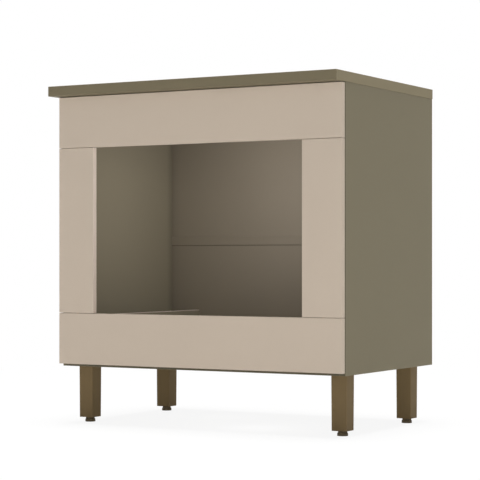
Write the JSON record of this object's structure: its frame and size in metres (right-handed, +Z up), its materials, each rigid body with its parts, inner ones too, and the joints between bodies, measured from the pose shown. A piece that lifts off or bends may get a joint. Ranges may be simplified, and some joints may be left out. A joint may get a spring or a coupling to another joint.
{
  "type": "oven base cabinet",
  "caption": "Floor-standing kitchen base cabinet with an open oven niche behind a fixed frame, a worktop, oven runners and levelling legs.",
  "frame": {"origin": "on the floor, under the middle of the worktop", "axes": "+X to the right seen from the front, +Y to the rear (the wall), +Z up"},
  "size_m": [0.8134, 0.5526, 0.8523],
  "materials": {
    "worktop_laminate": "matt melamine laminate on chipboard, greyish olive brown",
    "carcass_laminate": "matt melamine laminate on chipboard, greyish olive, with banded edges",
    "front_laminate": "matt laminate, warm beige, all edges banded",
    "back_board": "thin hardboard faced in the carcass colour",
    "edge_band": "thin matt plastic edge band, warm beige",
    "joint_profile": "extruded plastic, satin",
    "leg_plastic": "moulded plastic, olive brown, fine texture",
    "foot_plastic": "dark moulded plastic, satin",
    "fitting_steel": "zinc-plated steel",
    "dowel_wood": "bare beech"
  },
  "bodies": {
    "cabinet": {"worktop": "worktop_laminate", "side_panel_left": "carcass_laminate", "side_panel_right": "carcass_laminate", "base_panel": "carcass_laminate", "stretcher_front": "carcass_laminate", "stretcher_rear": "carcass_laminate", "back_panel_lower": "back_board", "back_panel_upper": "back_board", "back_joint_profile": "joint_profile", "front_rail_top": "front_laminate", "front_rail_bottom": "front_laminate", "front_stile_left": "front_laminate", "front_stile_right": "front_laminate", "oven_runner_left": "carcass_laminate", "oven_runner_right": "carcass_laminate", "runner_edge_band_left": "edge_band", "runner_edge_band_right": "edge_band", "carcass_dowels": "dowel_wood", "cam_bolts": "fitting_steel", "cam_locks": "fitting_steel", "frame_dowels": "dowel_wood", "front_brackets": "fitting_steel", "bracket_screws": "fitting_steel", "runner_screws": "fitting_steel", "worktop_screws": "fitting_steel", "leg_socket_screws": "fitting_steel", "leg_front_left": "leg_plastic", "leg_socket_front_left": "leg_plastic", "leg_nut_front_left": "fitting_steel", "leg_front_right": "leg_plastic", "leg_socket_front_right": "leg_plastic", "leg_nut_front_right": "fitting_steel", "leg_rear_left": "leg_plastic", "leg_socket_rear_left": "leg_plastic", "leg_nut_rear_left": "fitting_steel", "leg_rear_right": "leg_plastic", "leg_socket_rear_right": "leg_plastic", "leg_nut_rear_right": "fitting_steel"},
    "foot_front_left": {"foot_pad_front_left": "foot_plastic"},
    "stem_front_left": {"foot_stem_front_left": "fitting_steel", "foot_collar_front_left": "foot_plastic"},
    "foot_front_right": {"foot_pad_front_right": "foot_plastic"},
    "stem_front_right": {"foot_stem_front_right": "fitting_steel", "foot_collar_front_right": "foot_plastic"},
    "foot_rear_left": {"foot_pad_rear_left": "foot_plastic"},
    "stem_rear_left": {"foot_stem_rear_left": "fitting_steel", "foot_collar_rear_left": "foot_plastic"},
    "foot_rear_right": {"foot_pad_rear_right": "foot_plastic"},
    "stem_rear_right": {"foot_stem_rear_right": "fitting_steel", "foot_collar_rear_right": "foot_plastic"}
  },
  "joints": [
    {"name": "foot_front_left_slide", "type": "slide", "parent": "cabinet", "child": "foot_front_left", "axis": [0, 0, -1], "range_m": [0, 0.015]},
    {"name": "stem_front_left_turn", "type": "hinge", "parent": "foot_front_left", "child": "stem_front_left", "pos_m": [-0.35575, -0.16275, 0.0096], "axis": [0, 0, -1], "range_deg": [0, 4320.1]},
    {"name": "foot_front_right_slide", "type": "slide", "parent": "cabinet", "child": "foot_front_right", "axis": [0, 0, -1], "range_m": [0, 0.015]},
    {"name": "stem_front_right_turn", "type": "hinge", "parent": "foot_front_right", "child": "stem_front_right", "pos_m": [0.36625, -0.16275, 0.0096], "axis": [0, 0, -1], "range_deg": [0, 4320.1]},
    {"name": "foot_rear_left_slide", "type": "slide", "parent": "cabinet", "child": "foot_rear_left", "axis": [0, 0, -1], "range_m": [0, 0.015]},
    {"name": "stem_rear_left_turn", "type": "hinge", "parent": "foot_rear_left", "child": "stem_rear_left", "pos_m": [-0.35575, 0.20425, 0.0096], "axis": [0, 0, -1], "range_deg": [0, 4320.1]},
    {"name": "foot_rear_right_slide", "type": "slide", "parent": "cabinet", "child": "foot_rear_right", "axis": [0, 0, -1], "range_m": [0, 0.015]},
    {"name": "stem_rear_right_turn", "type": "hinge", "parent": "foot_rear_right", "child": "stem_rear_right", "pos_m": [0.36625, 0.20425, 0.0096], "axis": [0, 0, -1], "range_deg": [0, 4320.1]}
  ],
  "couplings": [
    {"joint": "stem_front_left_turn", "follows": "foot_front_left_slide", "rad_per_m": 5026.5},
    {"joint": "stem_front_right_turn", "follows": "foot_front_right_slide", "rad_per_m": 5026.5},
    {"joint": "stem_rear_left_turn", "follows": "foot_rear_left_slide", "rad_per_m": 5026.5},
    {"joint": "stem_rear_right_turn", "follows": "foot_rear_right_slide", "rad_per_m": 5026.5}
  ]
}
